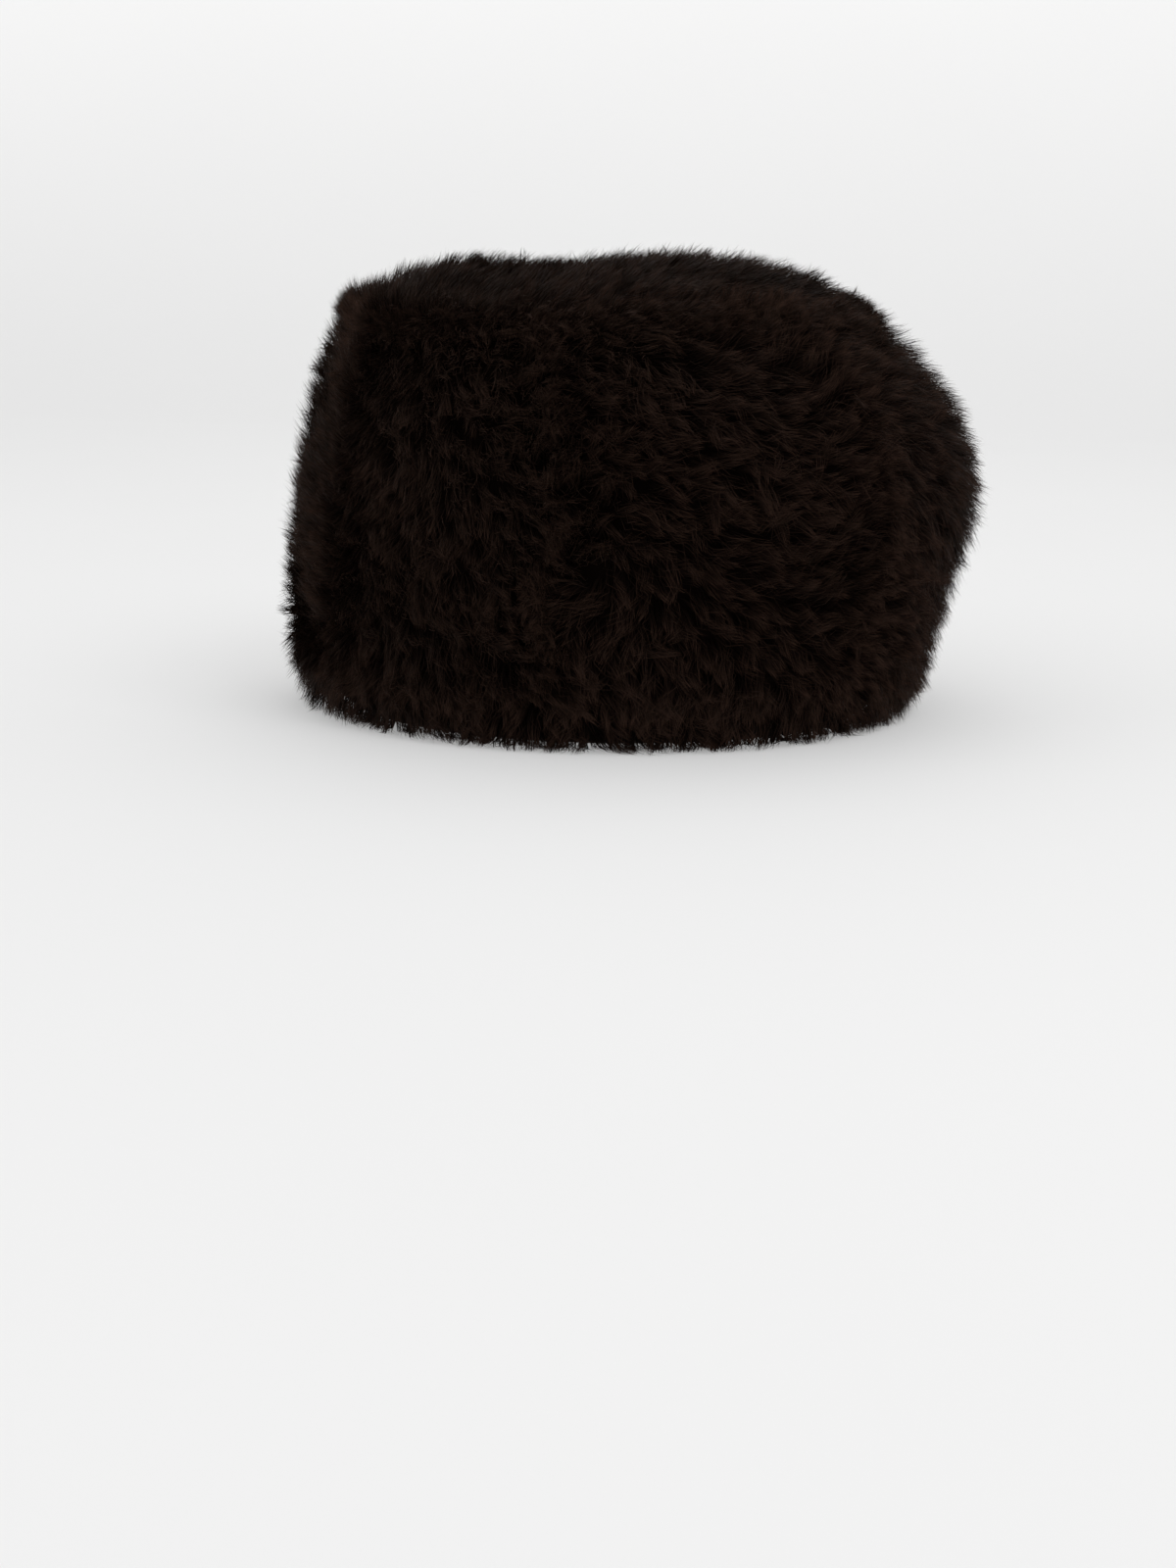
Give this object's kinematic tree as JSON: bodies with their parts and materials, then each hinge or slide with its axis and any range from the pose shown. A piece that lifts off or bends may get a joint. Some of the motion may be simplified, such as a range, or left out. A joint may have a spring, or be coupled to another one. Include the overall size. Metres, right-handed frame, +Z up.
{
  "type": "sheepskin drum hat",
  "caption": "Round, flat-topped drum hat of dark brown sheepskin with a rolled rim, side pelts joined by upright seams and a domed crown.",
  "frame": {"origin": "middle of the hat's box, on the surface that it stands on", "axes": "+X towards the hat's front, +Y to the wearer's left, +Z up through the crown"},
  "size_m": [0.2984, 0.257, 0.1929],
  "materials": {
    "brown_fur": "deep, matted sheepskin pile with a soft sheen on its tips",
    "inner_cloth": "matt, dark woven cloth"
  },
  "bodies": {
    "root": {"crown_pelt": "brown_fur", "front_pelt": "brown_fur", "front_rim": "brown_fur", "front_cap_panel": "inner_cloth", "left_front_pelt": "brown_fur", "left_front_rim": "brown_fur", "left_front_cap_panel": "inner_cloth", "left_rear_pelt": "brown_fur", "left_rear_rim": "brown_fur", "left_rear_cap_panel": "inner_cloth", "back_pelt": "brown_fur", "back_rim": "brown_fur", "back_cap_panel": "inner_cloth", "right_rear_pelt": "brown_fur", "right_rear_rim": "brown_fur", "right_rear_cap_panel": "inner_cloth", "right_front_pelt": "brown_fur", "right_front_rim": "brown_fur", "right_front_cap_panel": "inner_cloth", "cap_top": "inner_cloth"}
  },
  "joints": []
}
